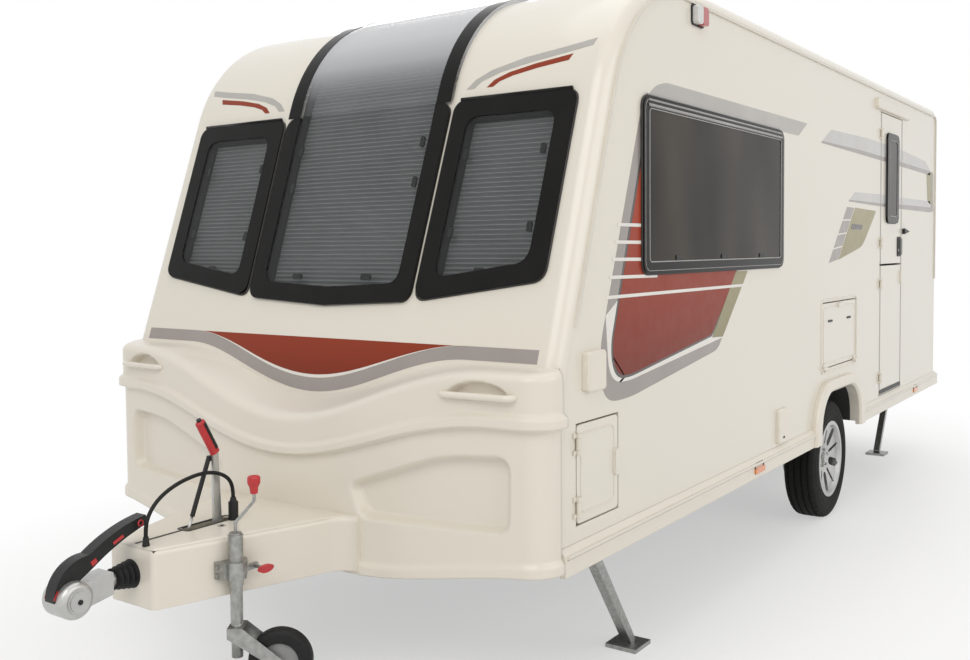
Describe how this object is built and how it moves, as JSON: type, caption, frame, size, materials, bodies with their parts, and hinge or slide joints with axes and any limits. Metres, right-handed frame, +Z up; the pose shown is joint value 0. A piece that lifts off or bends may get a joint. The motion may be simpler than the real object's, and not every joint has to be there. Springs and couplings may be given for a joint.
{
  "type": "travel caravan",
  "caption": "Ivory single-axle touring caravan with raked front windows, side door, lockers, A-frame hitch, jockey wheel and corner steadies, standing parked.",
  "frame": {"origin": "ground level under the middle of the overall length and width", "axes": "ISO 8855: +X forward to the coupling, +Y left (door side), +Z up"},
  "size_m": [6.78, 2.208, 2.625],
  "materials": {
    "ivory_shell": "satin gloss paint",
    "ivory_moulding": "glossy moulding",
    "black_border": "glossy black",
    "dark_glass": "tinted, polished",
    "skylight": "dark, polished",
    "blind": "pleated",
    "aluminium": "satin",
    "alloy": "satin",
    "tyre": "matt",
    "galvanised": "dull zinc",
    "hitch_steel": "silver paint",
    "black_plastic": "satin",
    "red_plastic": "satin",
    "rubber": "matt",
    "grey_plastic": "satin",
    "lamp": "clear coloured lens",
    "floor_board": "dark sealed board",
    "box_liner": "matt"
  },
  "bodies": {
    "body": {"front_panel": "ivory_shell", "roof_panel": "ivory_shell", "rear_panel": "ivory_shell", "side_wall_left": "ivory_shell", "side_wall_right": "ivory_shell", "lower_front_panel": "ivory_moulding", "wall_boxes": "ivory_moulding", "rear_bumper": "ivory_moulding", "fridge_vents": "ivory_moulding", "roof_vent": "ivory_moulding", "hinge_pins": "ivory_moulding", "skirts": "ivory_moulding", "arch_trims": "ivory_moulding", "grab_handles": "ivory_moulding", "a_frame_cover": "ivory_moulding", "front_window_frames": "black_border", "window_frames": "black_border", "front_window_glass": "dark_glass", "window_glass": "dark_glass", "front_skylight": "skylight", "front_blinds": "blind", "awning_rails": "aluminium", "chassis": "galvanised", "axle": "galvanised", "steady_brackets": "galvanised", "overrun_device": "galvanised", "jockey_tube": "galvanised", "jockey_clamp": "galvanised", "coupling_head": "hitch_steel", "handbrake": "hitch_steel", "stabiliser_handle": "black_plastic", "brake_strut": "black_plastic", "cable_plug": "black_plastic", "cable_gland": "black_plastic", "jockey_knob": "red_plastic", "handbrake_grip": "red_plastic", "bellows": "rubber", "cable": "rubber", "lamps": "lamp", "floor": "floor_board", "wheel_boxes": "box_liner"},
    "wheel_left": {"tyre_left": "tyre", "rim_left": "alloy"},
    "wheel_right": {"tyre_right": "tyre", "rim_right": "alloy"},
    "jockey_fork": {"jockey_fork": "galvanised"},
    "jockey_wheel": {"jockey_wheel": "grey_plastic", "jockey_tyre": "rubber"},
    "door_upper": {"door_upper": "ivory_shell", "door_window_frame": "black_border", "door_window_glass": "dark_glass"},
    "door_lower": {"door_lower": "ivory_shell"},
    "gas_locker_door": {"gas_locker_door": "ivory_shell"},
    "service_hatch": {"service_hatch": "ivory_shell"},
    "cassette_door": {"cassette_door": "ivory_shell"},
    "steady_front_left": {"steady_front_left": "galvanised"},
    "steady_front_right": {"steady_front_right": "galvanised"},
    "steady_rear_left": {"steady_rear_left": "galvanised"},
    "steady_rear_right": {"steady_rear_right": "galvanised"}
  },
  "joints": [
    {"name": "wheel_left_spin", "type": "hinge", "parent": "body", "child": "wheel_left", "pos_m": [-0.79, 0.951, 0.334], "axis": [0, 1, 0], "continuous": true},
    {"name": "wheel_right_spin", "type": "hinge", "parent": "body", "child": "wheel_right", "pos_m": [-0.79, -0.951, 0.334], "axis": [0, 1, 0], "continuous": true},
    {"name": "jockey_swivel", "type": "hinge", "parent": "body", "child": "jockey_fork", "pos_m": [2.875, 0.218, 0.34], "axis": [0, 0, 1], "continuous": true},
    {"name": "jockey_spin", "type": "hinge", "parent": "jockey_fork", "child": "jockey_wheel", "pos_m": [2.7947, 0.33268, 0.225], "axis": [0.8192, 0.5736, 0], "continuous": true},
    {"name": "door_upper_hinge", "type": "hinge", "parent": "body", "child": "door_upper", "pos_m": [-1.696, 1.08, 1.9], "axis": [0, 0, -1], "range_deg": [0, 100]},
    {"name": "door_lower_hinge", "type": "hinge", "parent": "body", "child": "door_lower", "pos_m": [-1.696, 1.08, 1], "axis": [0, 0, -1], "range_deg": [0, 100]},
    {"name": "gas_locker_hinge", "type": "hinge", "parent": "body", "child": "gas_locker_door", "pos_m": [2.169, 1.08, 0.8], "axis": [0, 0, -1], "range_deg": [0, 100]},
    {"name": "service_hatch_hinge", "type": "hinge", "parent": "body", "child": "service_hatch", "pos_m": [-0.82, 1.08, 0.875], "axis": [-1, 0, 0], "range_deg": [0, 95]},
    {"name": "cassette_hinge", "type": "hinge", "parent": "body", "child": "cassette_door", "pos_m": [-2.423, -1.08, 0.85], "axis": [0, 0, 1], "range_deg": [0, 100]},
    {"name": "steady_front_left_wind", "type": "hinge", "parent": "body", "child": "steady_front_left", "pos_m": [1.85, 0.945, 0.44], "axis": [0, 1, 0], "range_deg": [0, 50]},
    {"name": "steady_front_right_wind", "type": "hinge", "parent": "body", "child": "steady_front_right", "pos_m": [1.85, -0.945, 0.44], "axis": [0, 1, 0], "range_deg": [0, 50]},
    {"name": "steady_rear_left_wind", "type": "hinge", "parent": "body", "child": "steady_rear_left", "pos_m": [-3.05, 0.8, 0.44], "axis": [0, -1, 0], "range_deg": [0, 50]},
    {"name": "steady_rear_right_wind", "type": "hinge", "parent": "body", "child": "steady_rear_right", "pos_m": [-3.05, -0.8, 0.44], "axis": [0, -1, 0], "range_deg": [0, 50]}
  ]
}
